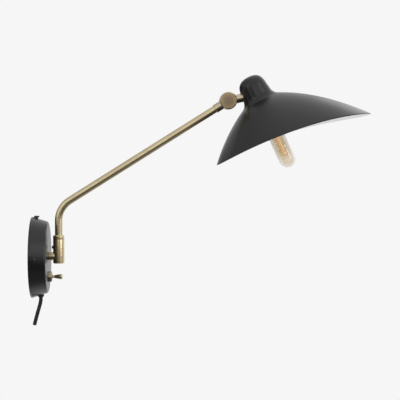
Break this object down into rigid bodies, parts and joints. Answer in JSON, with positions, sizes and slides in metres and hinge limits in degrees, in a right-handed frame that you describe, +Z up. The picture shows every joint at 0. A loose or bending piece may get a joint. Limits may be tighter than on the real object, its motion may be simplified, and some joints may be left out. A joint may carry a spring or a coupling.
{
  "type": "swing arm wall lamp",
  "caption": "Wall lamp with a round wall cup, toggle switch, bent brass arm that swings, tilting knuckle and a flared black shade over a tubular filament bulb.",
  "frame": {"origin": "middle of the wall cup's back, on the wall face of its bracket", "axes": "+X out from the wall along the arm at rest, +Y to the right as seen from the wall, +Z up"},
  "size_m": [0.4599, 0.195, 0.3375],
  "materials": {
    "black_paint": "satin black powder coat, white inside the shade",
    "antique_brass": "brushed antique brass under clear lacquer",
    "black_screws": "black oxide",
    "zinc_steel": "bright zinc plate",
    "bearing_bronze": "plain sintered bronze",
    "contact_brass": "bright stamped brass",
    "black_rubber": "matt moulded rubber",
    "cord_sheath": "matt black sheath",
    "lead_sheath": "smooth insulation",
    "black_phenolic": "moulded phenolic",
    "white_plastic": "moulded nylon",
    "fibre": "pressed fibre",
    "cap_metal": "rolled nickel finish",
    "cap_insulator": "fused black glass",
    "clear_glass": "clear with a faint amber tint",
    "filament_amber": "amber phosphor coat"
  },
  "bodies": {
    "wall_base": {"wall_bracket": "zinc_steel", "wall_cup": "black_paint", "cup_screws": "black_screws", "post": "antique_brass", "nipple": "zinc_steel", "nipple_washer": "zinc_steel", "nipple_nut": "zinc_steel", "barrel": "antique_brass", "barrel_bush": "bearing_bronze", "barrel_set_screw": "black_screws", "switch_body": "black_phenolic", "switch_bushing": "antique_brass", "switch_nut": "antique_brass", "switch_tags": "contact_brass", "cord_gland": "black_rubber", "cord": "cord_sheath", "terminal_block": "white_plastic", "terminal_screws": "contact_brass", "mains_leads": "lead_sheath", "switch_leads": "lead_sheath", "lamp_lead": "cord_sheath"},
    "toggle": {"toggle_lever": "antique_brass"},
    "arm": {"arm_tube": "antique_brass", "arm_collar": "antique_brass", "arm_wire": "cord_sheath", "knuckle_arm_half": "antique_brass", "friction_washer": "fibre", "spring_washer": "zinc_steel", "knuckle_screw": "antique_brass"},
    "shade_head": {"knuckle_shade_half": "antique_brass", "shade": "black_paint", "stub_saddle": "zinc_steel", "stub_nut": "zinc_steel", "holder_strip": "zinc_steel", "holder_nipple": "zinc_steel", "holder_nut": "zinc_steel", "holder_cap": "black_phenolic", "holder_body": "black_phenolic", "holder_sleeve": "contact_brass", "holder_tongue": "contact_brass", "holder_wire": "cord_sheath", "bulb_cap": "cap_metal", "bulb_insulator": "cap_insulator", "bulb_contact": "cap_metal", "bulb_glass": "clear_glass", "bulb_stem": "clear_glass", "filament_spiders": "cap_metal", "filaments": "filament_amber", "inner_tube": "clear_glass"}
  },
  "joints": [
    {"name": "arm_swing", "type": "hinge", "parent": "wall_base", "child": "arm", "pos_m": [0.0356, 0, 0.024], "axis": [0, 0, 1], "range_deg": [-75, 75]},
    {"name": "shade_tilt", "type": "hinge", "parent": "arm", "child": "shade_head", "pos_m": [0.26441, 0, 0.21059], "axis": [0, 1, 0], "range_deg": [-75, 40]},
    {"name": "toggle_throw", "type": "hinge", "parent": "wall_base", "child": "toggle", "pos_m": [0.0215, 0, -0.0261], "axis": [0, 0, 1], "range_deg": [0, 20]}
  ]
}
